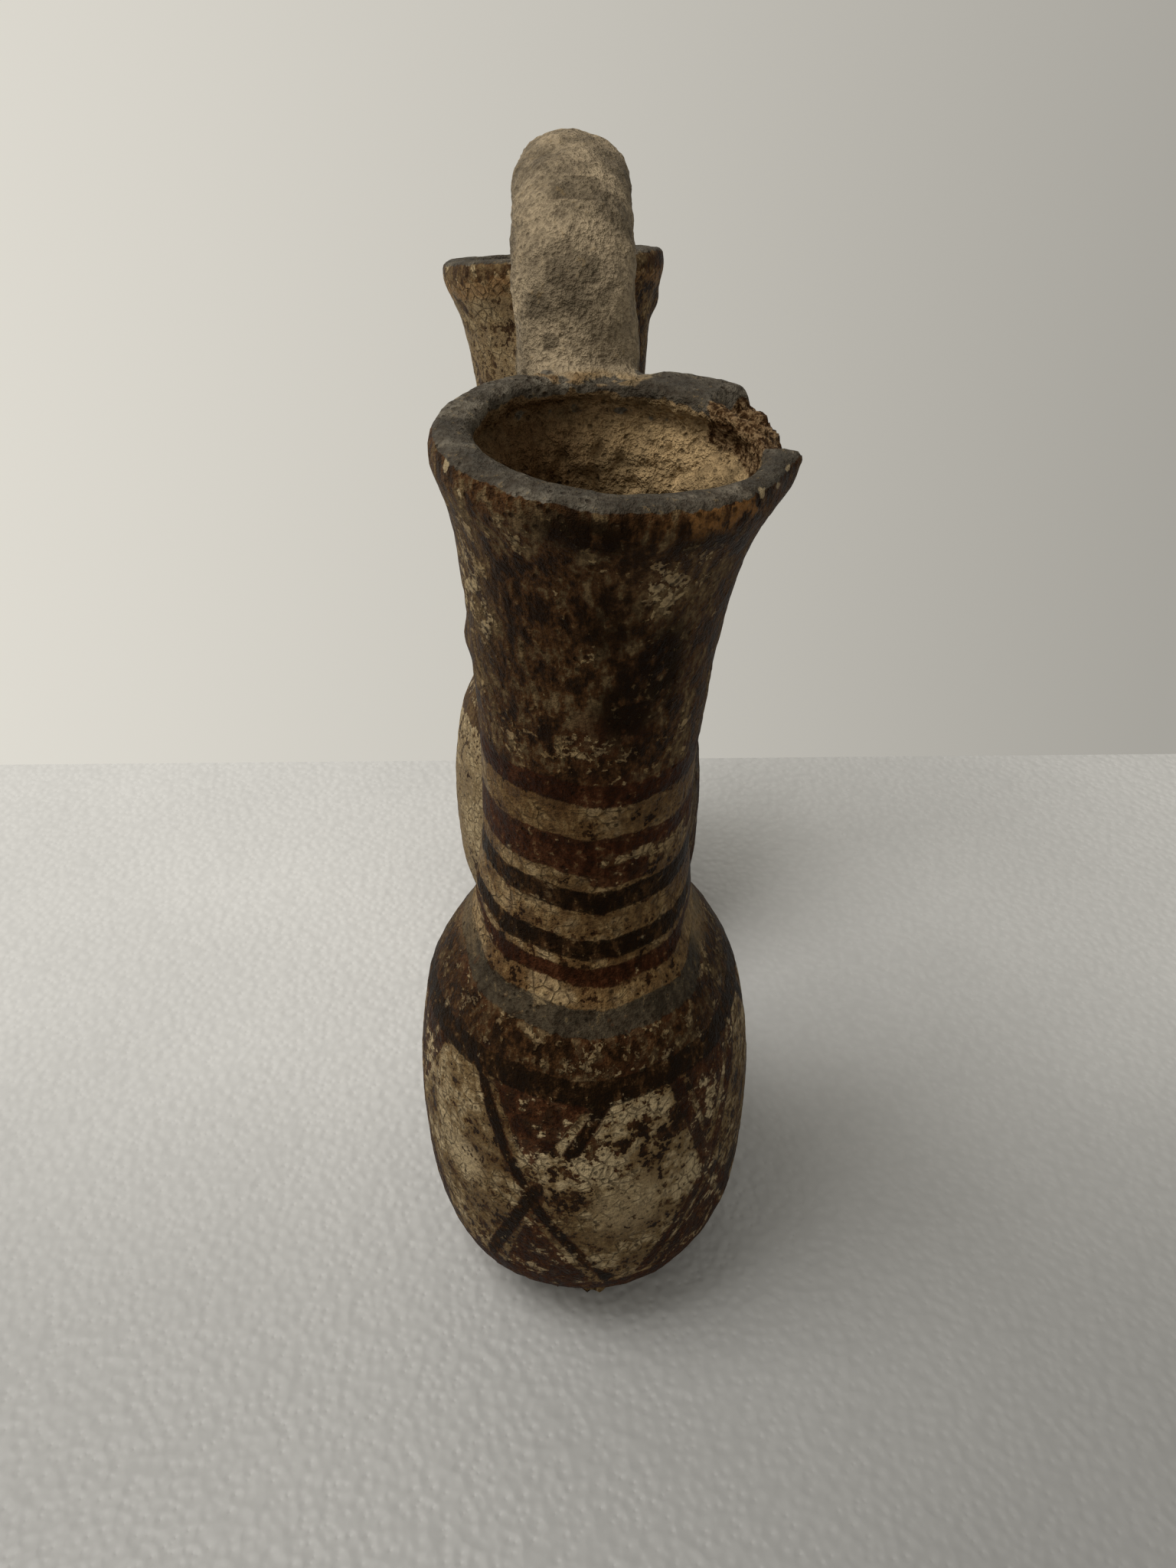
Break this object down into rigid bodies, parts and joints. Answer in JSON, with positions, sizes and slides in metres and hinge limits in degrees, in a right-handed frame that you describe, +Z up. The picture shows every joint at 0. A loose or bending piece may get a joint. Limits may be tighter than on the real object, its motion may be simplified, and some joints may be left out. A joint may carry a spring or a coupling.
{
  "type": "double pitcher",
  "caption": "Fired-clay twin vessel: round-bellied long-necked pitchers joined by an arched handle and a belly bridge, hollow, open-mouthed, with a broken lip.",
  "frame": {"origin": "middle of the bounding box's underside, on the surface that the two flat feet stand on", "axes": "+Z up; X runs through both pitchers, with the pitcher whose lip is broken at +X; Y across them"},
  "size_m": [0.2094, 0.0812, 0.2475],
  "materials": {
    "fired_clay": "burnished earthenware with worn dark-brown, red and cream painted bands, smudged and flaked"
  },
  "bodies": {
    "root": {"double_pitcher": "fired_clay"}
  },
  "joints": []
}
